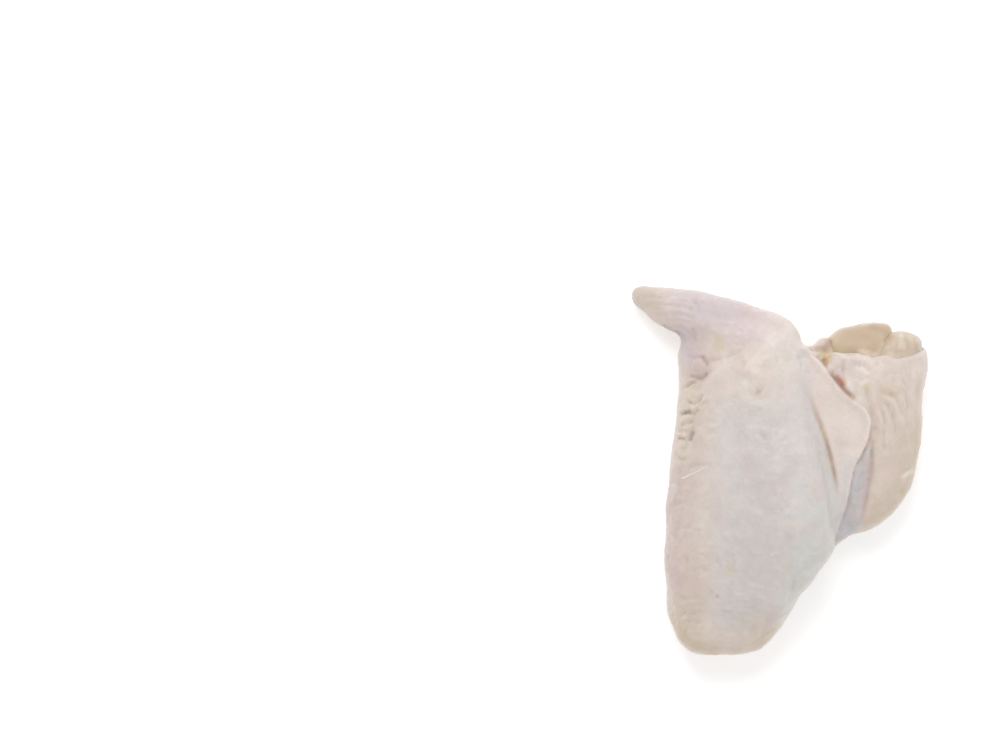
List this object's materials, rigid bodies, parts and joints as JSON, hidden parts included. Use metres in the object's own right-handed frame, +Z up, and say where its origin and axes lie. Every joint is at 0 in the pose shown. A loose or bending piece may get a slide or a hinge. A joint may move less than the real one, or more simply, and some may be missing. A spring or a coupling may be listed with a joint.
{
  "type": "raw chicken wing",
  "caption": "Raw skin-on poultry wing folded in a Z, with pointed tip, broad flat, folded web of skin and drumette cut open at the shoulder.",
  "frame": {"origin": "under the middle of the wing, on the surface that it lies on", "axes": "+Z up; +Y along the flat from the elbow to the wrist; +X across it towards the drumette; the tip points to -X"},
  "size_m": [0.0796, 0.1002, 0.0332],
  "materials": {
    "skin": "moist, satin",
    "meat": "wet, smooth",
    "fat": "moist, satin"
  },
  "bodies": {
    "root": {"wing_skin": "skin", "shoulder_meat": "meat", "shoulder_fat": "fat"}
  },
  "joints": []
}
